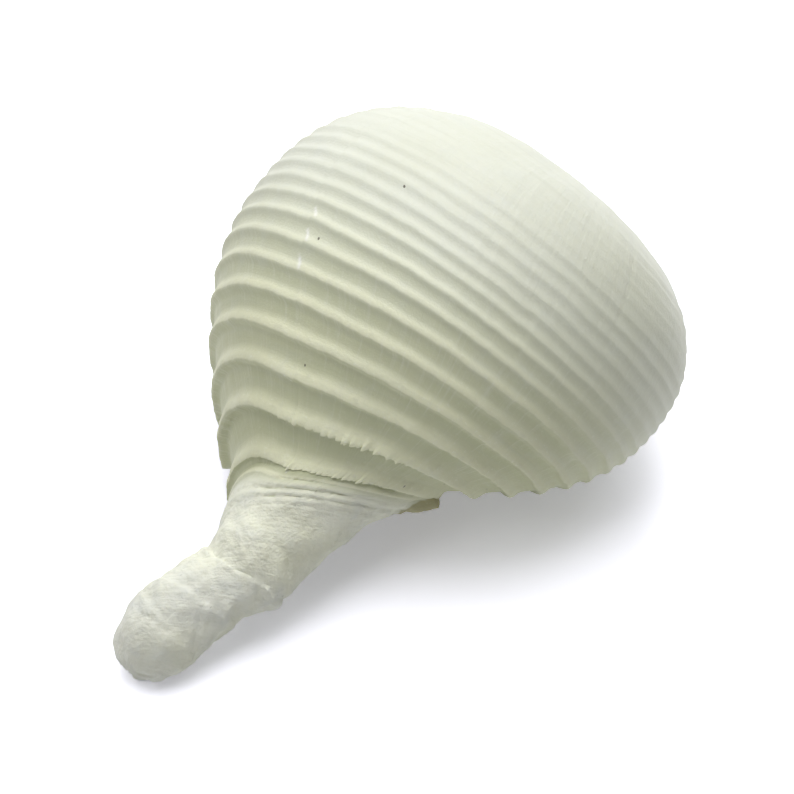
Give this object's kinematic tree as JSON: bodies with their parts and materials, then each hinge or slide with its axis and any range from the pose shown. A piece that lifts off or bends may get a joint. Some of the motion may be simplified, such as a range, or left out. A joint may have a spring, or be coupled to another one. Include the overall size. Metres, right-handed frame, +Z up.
{
  "type": "sea shell",
  "caption": "Thin globe-shaped spiral sea shell with flattened spire, spiral ribs below the shoulder, wide ribbed aperture and long slotted canal, lying on its aperture.",
  "frame": {"origin": "centre of the bounding box at table height, under the shell as it rests on its aperture", "axes": "+Z up from the table, +Y towards the spire, -Y towards the canal tip, the free edge of the outer lip on the -X side"},
  "size_m": [0.0548, 0.0738, 0.046],
  "materials": {
    "papery_white_shell": "matt to satin chalky white with a faint green-grey cast, thin and slightly translucent"
  },
  "bodies": {
    "root": {"shell": "papery_white_shell"}
  },
  "joints": []
}
